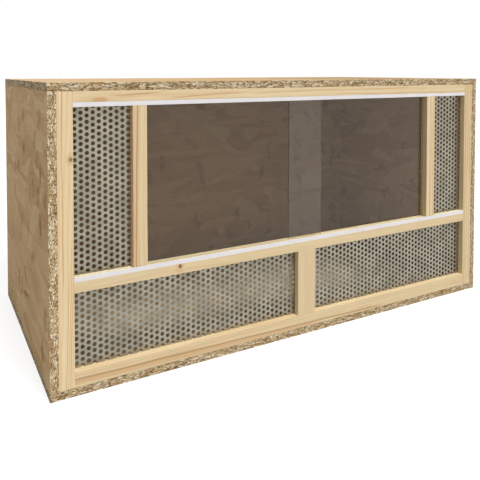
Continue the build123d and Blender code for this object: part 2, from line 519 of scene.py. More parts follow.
class PineGrain(SharedEffect):
    """Planed pine with its grain along X: rings round the heart and fine fibres. Lengths in millimetres."""

    inputs = {"Vector": ORIGIN, "Ring": 5.0, "Depth": 0.6, "Warm": 0.3}
    outputs = ("Color", "Rough", "Height")
    bend = 18.0
    bend_waves = (0.0035, 0.02, 0.02)
    patch_waves = (0.004, 0.05, 0.05)
    fibre_waves = (0.02, 0.9, 0.9)
    early_colour = (246, 222, 177)
    late_colour = (218, 168, 112)
    peach_colour = (234, 192, 148)

    def lay(self) -> None:
        """Lays rings, streaks and fibres."""
        place = self.source["Vector"]
        slow = self.wobble(self.vector("MULTIPLY", place, self.bend_waves))
        bent = self.vector("ADD", place, self.scaled(slow, self.bend))
        reach = self.reach(self.vector("MULTIPLY", bent, (0.0, 1.0, 1.0)))
        turn = self.maths("FRACT", self.over(reach, self.source["Ring"]))
        late = self.times(self.span(turn, 0.35, 0.86), self.fade(turn, 0.9, 1.0))
        patchy = self.noise(self.vector("MULTIPLY", place, self.patch_waves))
        strength = self.times(self.source["Depth"], self.span(patchy, 0.3, 0.7, 0.3, 1.0))
        late = self.times(late, strength)
        fibre = self.noise(self.vector("MULTIPLY", place, self.fibre_waves), detail=4.0, rough=0.6)
        peach = self.times(self.span(patchy, 0.42, 0.75), self.source["Warm"])
        colour = self.mix(late, linear(self.early_colour), linear(self.late_colour))
        colour = self.mix(peach, colour, linear(self.peach_colour))
        self.give(Color=self.shaded(colour, self.span(fibre, 0.25, 0.75, 0.91, 1.05)),
                  Rough=self.span(late, 0.0, 1.0, 0.62, 0.5),
                  Height=self.plus(self.times(fibre, 0.7), self.times(late, 0.4)))


class PineBand(SharedEffect):
    """A dark growth line or broader band along the grain, which may lean. Lengths in millimetres."""

    inputs = {"Vector": ORIGIN, "Place": 0.0, "Half": 1.0, "Slope": 0.0, "Start": -BEYOND, "End": BEYOND}
    outputs = ("Mask",)
    waves = (0.009, 0.02, 0.02)
    swing = 5.0
    fade_in = 40.0
    fade_out = 60.0

    def lay(self) -> None:
        """Lays the band with an uneven border that fades at both ends."""
        place, start, end = self.source["Vector"], self.source["Start"], self.source["End"]
        along, across, _ = self.parts(place)
        wave = self.noise(self.vector("MULTIPLY", place, self.waves), detail=3.0)
        straight = self.plus(self.source["Place"], self.times(along, self.source["Slope"]))
        middle = self.plus(straight, self.times(self.minus(wave, 0.5), self.swing))
        reach = self.over(self.size(self.minus(across, middle)), self.source["Half"])
        first = self.span(along, start, self.plus(start, self.fade_in))
        last = self.fade(along, self.minus(end, self.fade_out), end)
        self.give(Mask=self.times(self.fade(reach, 0.3, 1.3), self.times(first, last)))


class PineKnot(SharedEffect):
    """A small knot: a dark core, and grain that flows round it. The grain runs along X."""

    inputs = {"Vector": ORIGIN, "Middle": ORIGIN, "Radius": 4.0, "Squeeze": 0.62}
    outputs = ("Bent Vector", "Core", "Halo")
    push = 1.4
    push_falloff = -0.16
    unevenness = 1.6

    def lay(self) -> None:
        """Lays the core, its halo, and the sideways push on the grain."""
        place, radius = self.source["Vector"], self.source["Radius"]
        away = self.vector("SUBTRACT", place, self.source["Middle"])
        flat = self.vector("MULTIPLY", away, self.joined(self.source["Squeeze"], 1.0, 1.0))
        uneven = self.times(self.noise(away, scale=0.35), self.unevenness)
        share = self.over(self.plus(self.reach(flat), uneven), radius)
        near = self.maths("EXPONENT", self.times(share, share, self.push_falloff))
        sideways = self.vector("MULTIPLY", self.vector("NORMALIZE", away), (0.0, 1.0, 1.0))
        pushed = self.scaled(sideways, self.times(near, radius, self.push))
        self.give(Bent_Vector=self.vector("SUBTRACT", place, pushed), Core=self.fade(share, 0.7, 1.1),
                  Halo=self.fade(share, 0.9, 3.2))


class FineWear(SharedEffect):
    """Faint scratches along X and a thin uneven film, for metal, plastic, glass and dowels."""

    inputs = {"Vector": ORIGIN, "Grain": 1.0}
    outputs = ("Scratch", "Film")
    along_waves = 0.03
    film_waves = 0.03

    def lay(self) -> None:
        """Lays stretched noise for scratches and soft noise for the film."""
        place, grain = self.source["Vector"], self.source["Grain"]
        stretched = self.vector("MULTIPLY", place, self.joined(self.along_waves, grain, grain))
        self.give(Scratch=self.noise(stretched, detail=5.0, rough=0.65),
                  Film=self.noise(place, scale=self.film_waves, detail=4.0, rough=0.6))


@dataclass
class Effects:
    """The shared effects, each built once."""

    flakes: FlakeLayer = field(default_factory=FlakeLayer)
    mark: BoardMark = field(default_factory=BoardMark)
    pine: PineGrain = field(default_factory=PineGrain)
    band: PineBand = field(default_factory=PineBand)
    knot: PineKnot = field(default_factory=PineKnot)
    wear: FineWear = field(default_factory=FineWear)
    edge: StrandEdge = field(default_factory=StrandEdge)

    def __post_init__(self) -> None:
        """Builds the board face from the flake layer."""
        self.face = StrandFace(self.flakes)


class Finish:
    """A material with a Principled shader, measured in millimetres on the object's own axes."""

    def __init__(self, name: str, constants: dict[str, float]) -> None:
        """Starts the material.

        Args:
            name: Name of the material.
            constants: Values that are the same all over, by the shader's input.
        """
        self.material = bpy.data.materials.new(name)
        self.material.use_nodes = True
        self.graph = Graph(self.material.node_tree)
        nodes = self.material.node_tree.nodes
        self.shader = nodes["Principled BSDF"]
        self.output = nodes["Material Output"]
        for key, value in constants.items():
            self.shader.inputs[key].default_value = value

    def millimetres(self, order: Sequence[Axis] = tuple(Axis)) -> Socket:
        """Returns the place on the object in millimetres.

        Args:
            order: Which axes of the object become X, Y and Z of the pattern.

        Returns:
            The place as a vector.
        """
        place = self.graph.node("TexCoord").outputs["Object"]
        numbers = self.graph.parts(self.graph.scaled(place, 1 / MM))
        return self.graph.joined(*(numbers[axis.value] for axis in order))

    def wear(self, effects: Effects, grain: float) -> bpy.types.bpy_prop_collection:
        """Places the shared wear.

        Args:
            effects: The shared effects.
            grain: How many scratches there are to a millimetre across them.

        Returns:
            The Scratch and Film sockets.
        """
        return self.graph.effect(effects.wear, {"Vector": self.millimetres(), "Grain": grain})

    def wire(self, **sockets: Socket) -> None:
        """Wires sockets to the shader; an underscore stands for a space."""
        for name, socket in sockets.items():
            self.graph.feed(self.shader.inputs[name.replace("_", " ")], socket)


@dataclass(frozen=True)
class Mark:
    """A dark mark on a board, measured the long and the cross way in millimetres, with its turn in degrees.

    The size is half of the mark's, and stain_and_shade and core are the strengths of its two parts. Most
    marks are real stains; the top board's broad neutral mark is painted shade.
    """

    place: tuple[float, float]
    size: tuple[float, float]
    turn: float = 0.0
    stain_and_shade: float = 0.45
    core: float = 0.6
    colour: Paint = (180, 130, 92)
    core_colour: Paint = (118, 80, 46)


@dataclass(frozen=True)
class StrandBoardFinish:
    """Strand board: wide faces across one axis, sawn edges all round.

    The inward number is the sign of the face that looks into the box, which is painted darker and greyer as
    painted shade for the dim inside. The flakes are stretched along the board and finer by the factors
    given, and chip stretches those of the sawn edges.
    """

    name: str
    long_way: Axis
    cross_way: Axis
    thick_way: Axis
    inward: int
    shift: float
    strokes: float = 0.3
    stretch: float = 1.0
    fine: float = 1.0
    outer_tone: float = 1.0
    edge_tone: float = 1.0
    chip: tuple[float, float] = (1.0, 1.0)
    # painted shade: how much darker and greyer the face inside the box is drawn
    inside_shade_tint: tuple[float, float, float] = (0.84, 0.92, 1.04)
    marks: tuple[Mark, ...] = ()
    relief: float = 0.0003
    inner_relief: float = 0.25
    side_shift: float = 640.0

    def marked(self, graph: Graph, effects: Effects, colour: Socket, place: Socket, shown: Socket) -> Socket:
        """Lays the dark marks on a face.

        Args:
            graph: Where the nodes go.
            effects: The shared effects.
            colour: The colour of the bare face.
            place: The place on the board.
            shown: How much of the marks shows.

        Returns:
            The colour with the marks.
        """
        for mark in self.marks:
            found = graph.effect(effects.mark, {"Vector": place, "Middle": (*mark.place, 0.0),
                                                "Size": (*mark.size, 1.0), "Turn": math.radians(mark.turn)})
            # The spread of the top board's broad neutral mark is painted shade; the other marks are real
            # stains.
            parts = (("Stain", mark.stain_and_shade, mark.colour), ("Core", mark.core, mark.core_colour))
            for mask, strength, paint in parts:
                colour = graph.mix(graph.times(found[mask], strength, shown), colour, linear(paint))
        return colour

    def material(self, effects: Effects) -> bpy.types.Material:
        """Makes the material.

        Args:
            effects: The shared effects.

        Returns:
            The material.
        """
        finish = Finish(self.name, {"Specular IOR Level": 0.1})
        graph = finish.graph
        side = graph.parts(graph.node("TexCoord").outputs["Normal"])[self.thick_way.value]
        order = (self.long_way, self.cross_way, self.thick_way)
        along, across, through = graph.parts(finish.millimetres(order))
        inner = graph.span(graph.times(side, float(self.inward)), 0.4, 0.6)
        on_edge = graph.fade(graph.size(side), 0.4, 0.6)

        moved = graph.plus(graph.over(along, self.stretch), graph.times(inner, self.side_shift))
        place = graph.vector("ADD", graph.joined(moved, across, 0.0), (self.shift, self.shift / 2, 0.0))
        place = graph.scaled(place, self.fine)
        face = graph.effect(effects.face, {"Vector": place, "Strokes": self.strokes})
        edge_place = graph.joined(graph.plus(graph.plus(along, across), self.shift), through, 0.0)
        edge = graph.effect(effects.edge, {"Vector": graph.vector("DIVIDE", edge_place, (*self.chip, 1.0))})

        colour = self.marked(graph, effects, face["Color"], graph.joined(along, across, 0.0),
                             graph.minus(1.0, inner))
        # The inside face takes the inside shade tint: painted shade for the dim inside of the box.
        colour = graph.tinted(colour, graph.mix(inner, grey(self.outer_tone), (*self.inside_shade_tint, 1.0)))
        edge_colour = graph.tinted(edge["Color"], grey(self.edge_tone))
        relief = graph.times(face["Height"], graph.span(inner, 0.0, 1.0, 1.0, self.inner_relief))
        finish.wire(Base_Color=graph.mix(on_edge, colour, edge_colour),
                    Roughness=graph.between(on_edge, face["Rough"], edge["Rough"]),
                    Normal=graph.bump(graph.between(on_edge, relief, edge["Height"]), self.relief))
        return finish.material


@dataclass(frozen=True)
class Knot:
    """A knot in a batten, by its place in the row frame and its radius, in millimetres."""

    place: tuple[float, float, float]
    radius: float
    dark: float = 0.8
    squeeze: float = 0.62
    colour: Paint = (128, 82, 48)
    halo: float = 0.4
    halo_colour: Paint = (205, 152, 96)


@dataclass(frozen=True)
class Band:
    """A growth line along the grain: its place and half width in millimetres, and how it leans and ends."""

    place: float
    half: float
    strength: float
    colour: Paint
    slope: float = 0.0
    start: float = -BEYOND
    end: float = BEYOND


@dataclass(frozen=True)
class PineFinish:
    """Planed pine, by the way of its grain, the place of the tree's heart, its growth lines and knots."""

    name: str
    grain: Axis
    heart: tuple[float, float]
    ring: float = 5.0
    depth: float = 0.6
    warm: float = 0.3
    lean: float = 0.0
    tone: float = 1.0
    bands: tuple[Band, ...] = ()
    knots: tuple[Knot, ...] = ()
    relief: float = 0.00022

    def across(self) -> Axis:
        """Returns the axis across the grain in the face of the frame."""
        return Axis.X if self.grain is Axis.Z else Axis.Z

    def material(self, effects: Effects) -> bpy.types.Material:
        """Makes the material.

        Args:
            effects: The shared effects.

        Returns:
            The material.
        """
        finish = Finish(self.name, {"Specular IOR Level": 0.3})
        graph = finish.graph
        order = (self.grain, self.across(), Axis.Y)
        place = finish.millimetres(order)
        marks = []
        for knot in self.knots:
            middle = tuple(knot.place[axis.value] for axis in order)
            found = graph.effect(effects.knot, {"Vector": place, "Middle": middle, "Radius": knot.radius,
                                                "Squeeze": knot.squeeze})
            place = found["Bent Vector"]
            marks.append((knot, found["Core"], found["Halo"]))
        along, across, depth = graph.parts(place)
        leaning = graph.minus(across, graph.times(along, self.lean))
        rings = graph.vector("SUBTRACT", graph.joined(along, leaning, depth), (0.0, *self.heart))
        wood = graph.effect(effects.pine, {"Vector": rings, "Ring": self.ring, "Depth": self.depth,
                                           "Warm": self.warm})
        colour = graph.tinted(wood["Color"], grey(self.tone))
        for band in self.bands:
            found = graph.effect(effects.band, {"Vector": place, "Place": band.place, "Half": band.half,
                                                "Slope": band.slope, "Start": band.start, "End": band.end})
            colour = graph.mix(graph.times(found["Mask"], band.strength), colour, linear(band.colour))
        for knot, core, halo in marks:
            colour = graph.mix(graph.times(halo, knot.halo * knot.dark), colour, linear(knot.halo_colour))
            colour = graph.mix(graph.times(core, knot.dark), colour, linear(knot.colour))
        finish.wire(Base_Color=colour, Roughness=wood["Rough"],
                    Normal=graph.bump(wood["Height"], self.relief))
        return finish.material


@dataclass(frozen=True)
class PlasticFinish:
    """Extruded plastic, with faint lines along the profile."""

    name: str
    colour: Paint
    rough: float = 0.34
    grain: float = 1.6
    relief: float = 0.00006

    def material(self, effects: Effects) -> bpy.types.Material:
        """Makes the material.

        Args:
            effects: The shared effects.

        Returns:
            The material.
        """
        finish = Finish(self.name, {"Specular IOR Level": 0.45})
        graph = finish.graph
        wear = finish.wear(effects, self.grain)
        shade = graph.span(wear["Film"], 0.3, 0.7, 0.965, 1.02)
        finish.wire(Base_Color=graph.shaded(linear(self.colour), shade),
                    Roughness=graph.span(wear["Scratch"], 0.3, 0.7, self.rough - 0.06, self.rough + 0.1),
                    Normal=graph.bump(wear["Scratch"], self.relief))
        return finish.material


@dataclass(frozen=True)
class MetalFinish:
    """Satin or bright sheet and fastener metal, with rolling lines and a thin film."""

    name: str
    dull: Paint
    bright: Paint
    rough: float
    grain: float
    relief: float

    def material(self, effects: Effects) -> bpy.types.Material:
        """Makes the material.

        Args:
            effects: The shared effects.

        Returns:
            The material.
        """
        finish = Finish(self.name, {"Metallic": 1.0})
        graph = finish.graph
        wear = finish.wear(effects, self.grain)
        colour = graph.mix(graph.span(wear["Film"], 0.3, 0.7), linear(self.dull), linear(self.bright))
        finish.wire(Base_Color=graph.shaded(colour, graph.span(wear["Scratch"], 0.3, 0.7, 0.93, 1.04)),
                    Roughness=graph.span(wear["Film"], 0.3, 0.7, self.rough + 0.08, self.rough - 0.05),
                    Normal=graph.bump(wear["Scratch"], self.relief))
        return finish.material


@dataclass(frozen=True)
class GlassFinish:
    """Clear float glass with a faint uneven film; lamplight passes straight through it."""

    name: str
    colour: Paint
    ior: float
    rough: float
    passes: Paint
    grain: float = 0.4

    def material(self, effects: Effects) -> bpy.types.Material:
        """Makes the material.

        Args:
            effects: The shared effects.

        Returns:
            The material.
        """
        finish = Finish(self.name, {"Transmission Weight": 1.0, "IOR": self.ior, "Roughness": self.rough})
        graph = finish.graph
        wear = finish.wear(effects, self.grain)
        shade = graph.span(wear["Film"], 0.3, 0.7, 0.985, 1.0)
        finish.wire(Base_Color=graph.shaded(linear(self.colour), shade),
                    Roughness=graph.span(wear["Film"], 0.5, 0.8, self.rough, self.rough + 0.03))
        clear = graph.node("BsdfTransparent", {0: linear(self.passes)}).outputs[0]
        path = graph.node("LightPath").outputs
        lit = graph.most(path["Is Shadow Ray"], path["Is Diffuse Ray"])
        both = graph.node("MixShader", {0: lit, 1: finish.shader.outputs[0], 2: clear}).outputs[0]
        graph.feed(finish.output.inputs[0], both)
        return finish.material


@dataclass(frozen=True)
class BeechFinish:
    """Turned beech: fine pores along the pin."""

    name: str
    dull: Paint = (206, 168, 126)
    bright: Paint = (232, 200, 158)
    grain: float = 2.4
    relief: float = 0.0002

    def material(self, effects: Effects) -> bpy.types.Material:
        """Makes the material.

        Args:
            effects: The shared effects.

        Returns:
            The material.
        """
        finish = Finish(self.name, {"Specular IOR Level": 0.3})
        graph = finish.graph
        wear = finish.wear(effects, self.grain)
        colour = graph.mix(graph.span(wear["Scratch"], 0.3, 0.7), linear(self.dull), linear(self.bright))
        finish.wire(Base_Color=colour, Roughness=graph.span(wear["Film"], 0.3, 0.7, 0.55, 0.7),
                    Normal=graph.bump(wear["Scratch"], self.relief))
        return finish.material


def block(low: Sequence[float], high: Sequence[float]) -> bmesh.types.BMesh:
    """Makes a solid block between two corners.

    Args:
        low: Its lowest corner.
        high: Its highest corner.

    Returns:
        A new bmesh.
    """
    made = bmesh.new()
    low, high = Vector(low), Vector(high)
    bmesh.ops.create_cube(made, size=1.0, matrix=Matrix.LocRotScale((low + high) / 2, None, high - low))
    return made


def extruded(profile: Profile, along: Axis, start: float, end: float) -> bmesh.types.BMesh:
    """Extrudes a closed profile along an axis.

    Args:
        profile: Corners of the profile, by the two other axes in their order.
        along: The axis to extrude along.
        start: Where the solid starts on that axis.
        end: Where it ends.

    Returns:
        A new bmesh with its faces outwards.
    """
    made = bmesh.new()
    corners = []
    for pair in profile:
        numbers = list(pair)
        numbers.insert(along.value, start)
        corners.append(made.verts.new(numbers))
    face = made.faces.new(corners)
    grown = bmesh.ops.extrude_face_region(made, geom=[face], use_keep_orig=True)["geom"]
    step = [0.0, 0.0, 0.0]
    step[along.value] = end - start
    bmesh.ops.translate(made, verts=[v for v in grown if isinstance(v, bmesh.types.BMVert)], vec=step)
    bmesh.ops.recalc_face_normals(made, faces=made.faces)
    return made


def soften(made: bmesh.types.BMesh, edges: Iterable[bmesh.types.BMEdge], width: float,
           segments: int = 2) -> None:
    """Rounds edges.

    Args:
        made: The bmesh to change.
        edges: The edges to round.
        width: How far the rounding reaches on each side.
        segments: How many flats make the round.
    """
    bmesh.ops.bevel(made, geom=list(edges), offset=width, offset_type="OFFSET", segments=segments,
                    profile=0.5, affect="EDGES", clamp_overlap=True, material=-1)


def scattered(unit: bmesh.types.BMesh, places: Iterable[Matrix]) -> bmesh.types.BMesh:
    """Copies a unit to each place.

    Args:
        unit: The shape to copy, which is freed.
        places: Where each copy goes.

    Returns:
        A new bmesh with all the copies.
    """
    stamp = bpy.data.meshes.new("stamp")
    unit.to_mesh(stamp)
    unit.free()
    made = bmesh.new()
    for place in places:
        copy = stamp.copy()
        copy.transform(place)
        made.from_mesh(copy)
        bpy.data.meshes.remove(copy)
    bpy.data.meshes.remove(stamp)
    return made


def dressed(name: str, made: bmesh.types.BMesh, materials: Sequence[bpy.types.Material], body: Body,
            node: str, smooth: float = 0.0) -> bpy.types.Object:
    """Makes a piece from a bmesh and puts it on its body.

    Args:
        name: Name of the piece.
        made: Its shape, which is freed.
        materials: Its materials, by the faces' numbers.
        body: The body that it rides on.
        node: The CAD node that it replaces.
        smooth: The angle in degrees under which edges look round, or 0 for flat faces.

    Returns:
        The piece.
    """
    mesh = bpy.data.meshes.new(name)
    made.to_mesh(mesh)
    made.free()
    for material in materials:
        mesh.materials.append(material)
    if smooth:
        mesh.polygons.foreach_set("use_smooth", [True] * len(mesh.polygons))
        mesh.set_sharp_from_angle(angle=math.radians(smooth))
    piece = bpy.data.objects.new(name, mesh)
    bpy.context.scene.collection.objects.link(piece)
    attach(piece, body.value)
    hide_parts(node)
    return piece


class Assembly:
    """A part of the terrarium that is built and dressed together."""

    def __init__(self, effects: Effects) -> None:
        """Keeps the shared effects."""
        self.effects = effects

    def build(self) -> list[bpy.types.Object]:
        """Returns the pieces, built and dressed."""
        raise NotImplementedError

    def dress_node(self, node: str, material: bpy.types.Material) -> bpy.types.Object:
        """Gives a CAD node its material.

        Args:
            node: Name of the node.
            material: The material.

        Returns:
            The node's object.
        """
        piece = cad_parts[node]
        piece.data.materials.clear()
        piece.data.materials.append(material)
        return piece


class StrandBoards(Assembly):
    """The five boards of the box, which are the CAD nodes with a strand board finish."""

    finishes = {
        "top_panel": StrandBoardFinish(
            "strand_top", Axis.X, Axis.Y, Axis.Z, inward=-1, shift=417.0, stretch=1.8, fine=1.25,
            # The outer tone of 0.81 and the wide neutral mark darken the top, most towards its right end:
            # painted shade for light falling off along the top.
            outer_tone=0.81, edge_tone=0.96, chip=(1.8, 1.0),
            marks=(Mark((380.0, 20.0), (430.0, 420.0), 0.0, 0.45, 0.0, (158, 132, 98)),)),
        "bottom_panel": StrandBoardFinish(
            "strand_bottom", Axis.X, Axis.Y, Axis.Z, inward=1, shift=1931.0, chip=(1.8, 1.0),
            inside_shade_tint=(0.66, 0.78, 0.97)),
        "left_side_panel": StrandBoardFinish(
            "strand_left", Axis.Y, Axis.Z, Axis.X, inward=1, shift=886.0, strokes=0.35, stretch=2.2,
            fine=1.35, edge_tone=1.1,
            marks=(
                Mark((50.0, 455.0), (22.0, 10.0), 90.0, 0.45, 0.95),
                Mark((-12.0, 409.0), (26.0, 14.0), 0.0, 0.8, 0.0),
                Mark((-200.0, 385.0), (24.0, 13.0), 84.0, 0.75, 0.3),
                Mark((-246.0, 345.0), (26.0, 12.0), 60.0, 0.6, 0.2),
                Mark((-194.0, 291.0), (28.0, 14.0), 96.0, 0.85, 0.4),
                Mark((-25.0, 105.0), (44.0, 8.0), 9.0, 0.5, 0.95),
                Mark((64.0, 363.0), (24.0, 12.0), 40.0, 0.7, 0.2),
                Mark((-200.0, 62.0), (30.0, 11.0), 88.0, 0.8, 0.5),
                Mark((-110.0, 208.0), (34.0, 14.0), 30.0, 0.5, 0.1),
                Mark((120.0, 300.0), (30.0, 10.0), 62.0, 0.5, 0.1),
                Mark((20.0, 250.0), (36.0, 12.0), 50.0, 0.45, 0.1),
                Mark((-90.0, 330.0), (26.0, 9.0), 70.0, 0.5, 0.2),
            )),
        "right_side_panel": StrandBoardFinish(
            "strand_right", Axis.Y, Axis.Z, Axis.X, inward=-1, shift=2655.0, stretch=2.2, fine=1.2,
            inside_shade_tint=(0.86, 0.97, 1.11)),
        "back_panel": StrandBoardFinish(
            "strand_back", Axis.X, Axis.Z, Axis.Y, inward=-1, shift=3307.0, stretch=1.8, fine=1.2,
            inside_shade_tint=(0.84, 0.94, 1.07)),
    }

    def build(self) -> list[bpy.types.Object]:
        """Returns the boards with their finish."""
        return [self.dress_node(node, finish.material(self.effects))
                for node, finish in self.finishes.items()]


class KerfSide(Enum):
    """The side of a batten that a sheet enters, low or high on the axis across the grain, or none."""

    LOW = -1
    NONE = 0
    HIGH = 1


@dataclass(frozen=True)
class Kerf:
    """The saw kerf that holds a sheet's edge: where it lies in depth and how deep it goes, in metres."""

    front: float = -0.25655
    back: float = -0.25505
    depth: float = 0.006


@dataclass(frozen=True)
class Batten:
    """One planed batten: its node, its finish and the side with the kerf."""

    node: str
    finish: PineFinish
    kerf_side: KerfSide = KerfSide.NONE
    arris: float = 0.0007

    def profile(self, kerf: Kerf) -> Profile:
        """Returns the corners of the section across the grain.

        Args:
            kerf: The kerf to cut.

        Returns:
            The corners, by the two axes across the grain in their order.
        """
        low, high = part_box(self.node)
        across = self.finish.across()
        first, last = low[across.value], high[across.value]
        corners = [(first, low.y), (last, low.y), (last, high.y), (first, high.y)]
        sign = self.kerf_side.value
        if sign:
            face = last if sign > 0 else first
            floor = face - sign * kerf.depth
            notch = [(face, kerf.front), (floor, kerf.front), (floor, kerf.back), (face, kerf.back)]
            if sign > 0:
                corners[2:2] = notch
            else:
                corners += notch[::-1]
        if across is Axis.Z:
            corners = [(y, z) for z, y in corners]
        return corners

    def shape(self, kerf: Kerf) -> bmesh.types.BMesh:
        """Makes the batten's solid and rounds its outer edges.

        Args:
            kerf: The kerf to cut.

        Returns:
            A new bmesh.
        """
        low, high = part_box(self.node)
        along = self.finish.grain
        made = extruded(self.profile(kerf), along, low[along.value], high[along.value])
        corners = [v for v in made.verts
                   if all(min(v.co[i] - low[i], high[i] - v.co[i]) < TOUCHING for i in range(3))]
        soften(made, [e for e in made.edges if all(v in corners for v in e.verts)], self.arris)
        return made


class Battens(Assembly):
    """The pine front frame: stiles, rails, mullions and the post of the lower bay."""

    kerf = Kerf()
    battens = (
        Batten("left_stile", PineFinish(
            "pine_left_stile", Axis.Z, heart=(-470.0, -260.0), ring=8.0, depth=0.35, warm=0.2, lean=0.03,
            tone=1.05,
            bands=(
                Band(-523.0, 3.0, 0.4, (235, 192, 148)),
                Band(-516.0, 1.2, 0.6, (208, 154, 100), start=180.0),
                Band(-513.0, 0.9, 0.6, (212, 158, 104), 0.03, end=260.0),
                Band(-509.6, 0.8, 0.55, (212, 158, 104), 0.032, end=300.0),
                Band(-506.4, 0.9, 0.6, (214, 160, 106), 0.034, end=330.0),
                Band(-502.6, 0.8, 0.5, (214, 160, 106), 0.03, end=200.0),
            ),
            knots=(Knot((-501.7, -270.0, 417.0), 4.4, 0.75, 0.8, (112, 96, 54)),)), KerfSide.HIGH),
        Batten("right_stile", PineFinish(
            "pine_right_stile", Axis.Z, heart=(462.0, -248.0), ring=9.0, depth=0.45, warm=0.4, tone=0.94,
            bands=(
                Band(502.5, 2.2, 0.5, (206, 158, 108)),
                Band(510.0, 1.0, 0.35, (206, 160, 110)),
                Band(519.0, 1.2, 0.35, (208, 162, 112)),
            )), KerfSide.LOW),
        Batten("bottom_rail", PineFinish(
            "pine_bottom_rail", Axis.X, heart=(-40.0, -230.0), ring=16.0, depth=0.3, tone=0.95,
            bands=(
                Band(17.0, 5.0, 0.55, (220, 174, 126), -0.0144, end=60.0),
                Band(22.4, 2.1, 0.75, (190, 142, 94), -0.0144, end=240.0),
                Band(34.0, 1.2, 0.3, (214, 166, 118), -0.004),
            )), KerfSide.HIGH),
        Batten("middle_rail", PineFinish(
            "pine_middle_rail", Axis.X, heart=(120.0, -225.0), ring=12.0, depth=0.2, warm=0.15, tone=0.955,
            knots=(Knot((-297.4, -270.0, 197.0), 5.2, 0.95, 1.2, (146, 92, 56)),)), KerfSide.LOW),
        Batten("top_rail", PineFinish(
            "pine_top_rail", Axis.X, heart=(570.0, -262.0), ring=11.0, depth=0.3, warm=0.2,
            bands=(
                Band(553.0, 1.8, 0.7, (208, 154, 100), 0.066, -440.0, -310.0),
                Band(541.5, 1.5, 0.5, (214, 162, 110), 0.046, -430.0, -340.0),
                Band(534.5, 1.8, 0.6, (212, 160, 108), 0.046, -330.0, -130.0),
                Band(527.5, 1.8, 0.5, (214, 166, 116), 0.01, -150.0, 330.0),
                Band(520.0, 1.6, 0.4, (214, 166, 116), -0.006, 60.0, 480.0),
            ),
            knots=(Knot((-449.5, -270.0, 519.0), 5.4, 0.5, 0.3, (206, 140, 84)),))),
        Batten("left_mullion", PineFinish(
            "pine_left_mullion", Axis.Z, heart=(-320.0, -255.0), ring=9.0, depth=0.4, tone=0.95,
            bands=(
                Band(-388.0, 3.5, 0.4, (232, 188, 142)),
                Band(-386.3, 1.6, 0.85, (196, 142, 92), 0.0098),
                Band(-372.0, 3.0, 0.4, (248, 226, 180)),
            )), KerfSide.LOW),
        Batten("right_mullion", PineFinish(
            "pine_right_mullion", Axis.Z, heart=(330.0, -258.0), ring=10.0, depth=0.4,
            bands=(
                Band(368.0, 2.4, 0.6, (252, 234, 204)),
                Band(374.0, 1.4, 0.5, (208, 162, 112)),
                Band(385.0, 1.4, 0.4, (214, 170, 120)),
            )), KerfSide.HIGH),
        Batten("centre_post", PineFinish(
            "pine_centre_post", Axis.Z, heart=(30.0, -180.0), ring=14.0, depth=0.1, warm=0.2, tone=0.94,
            bands=(Band(-3.0, 6.0, 0.35, (236, 198, 160)),))),
    )

    def build(self) -> list[bpy.types.Object]:
        """Builds the battens.

        Returns:
            One piece for each batten.
        """
        return [
            dressed(batten.node + "_planed", batten.shape(self.kerf), [batten.finish.material(self.effects)],
                    Body.CASE, batten.node)
            for batten in self.battens
        ]


@dataclass(frozen=True)
class Track:
    """One double-groove track: its node, how deep its grooves go and whether they open upwards."""

    node: str
    groove_depth: float
    opens_up: bool
    lip: float = 0.0035
    groove: float = 0.0046
    rounding: float = 0.0005
    front_normal: float = -0.5

    def open_height(self) -> float:
        """Returns the height of the lips' ends, where the grooves open."""
        low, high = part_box(self.node)
        return high.z if self.opens_up else low.z

    def profile(self) -> Profile:
        """Draws the section with its two grooves.

        Returns:
            The corners, as depth and height.
        """
        low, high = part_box(self.node)
        open_z = self.open_height()
        closed_z = low.z if self.opens_up else high.z
        floor_z = open_z - self.groove_depth if self.opens_up else open_z + self.groove_depth
        corners = [(low.y, closed_z), (low.y, open_z)]
        for first, last in ((low.y + self.lip, low.y + self.lip + self.groove),
                            (high.y - self.lip - self.groove, high.y - self.lip)):
            corners += [(first, open_z), (first, floor_z), (last, floor_z), (last, open_z)]
        return corners + [(high.y, open_z), (high.y, closed_z)]

    def shape(self) -> bmesh.types.BMesh:
        """Makes the track and rounds its lips.

        Returns:
            A new bmesh, whose front face has number 0 and the rest number 1.
        """
        low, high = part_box(self.node)
        made = extruded(self.profile(), Axis.X, low.x, high.x)
        open_z = self.open_height()
        lips = [e for e in made.edges if abs(e.verts[0].co.x - e.verts[1].co.x) > MM
                and all(abs(v.co.z - open_z) < TOUCHING for v in e.verts)]
        soften(made, lips, self.rounding)
        for face in made.faces:
            in_front = face.normal.y < self.front_normal and face.calc_center_median().y < low.y + MM
            face.material_index = 0 if in_front else 1
        return made


class Tracks(Assembly):
    """The two plastic tracks that the panes slide in."""

    tracks = (Track("lower_track", 0.0032, True), Track("upper_track", 0.007, False))
    front_finish = PlasticFinish("track_white", (247, 243, 244))
    groove_finish = PlasticFinish("track_cream", (240, 228, 192), 0.45)

    def build(self) -> list[bpy.types.Object]:
        """Builds the tracks.

        Returns:
            One piece for each track.
        """
        materials = [finish.material(self.effects) for finish in (self.front_finish, self.groove_finish)]
        return [dressed(track.node + "_profile", track.shape(), materials, Body.CASE, track.node)
                for track in self.tracks]


@dataclass(frozen=True)
class Pane:
    """One sliding glass pane, by its node and its body."""

    node: str
    body: Body
    arris: float = 0.0005
    wide_normal: float = 0.9

    def shape(self) -> bmesh.types.BMesh:
        """Makes the pane and takes off its sharp edges.

        Returns:
            A new bmesh, whose two wide faces have number 0 and whose ground edges have number 1.
        """
        made = block(*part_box(self.node))
        soften(made, made.edges[:], self.arris, 1)
        for face in made.faces:
            face.material_index = 0 if abs(face.normal.y) > self.wide_normal else 1
        return made


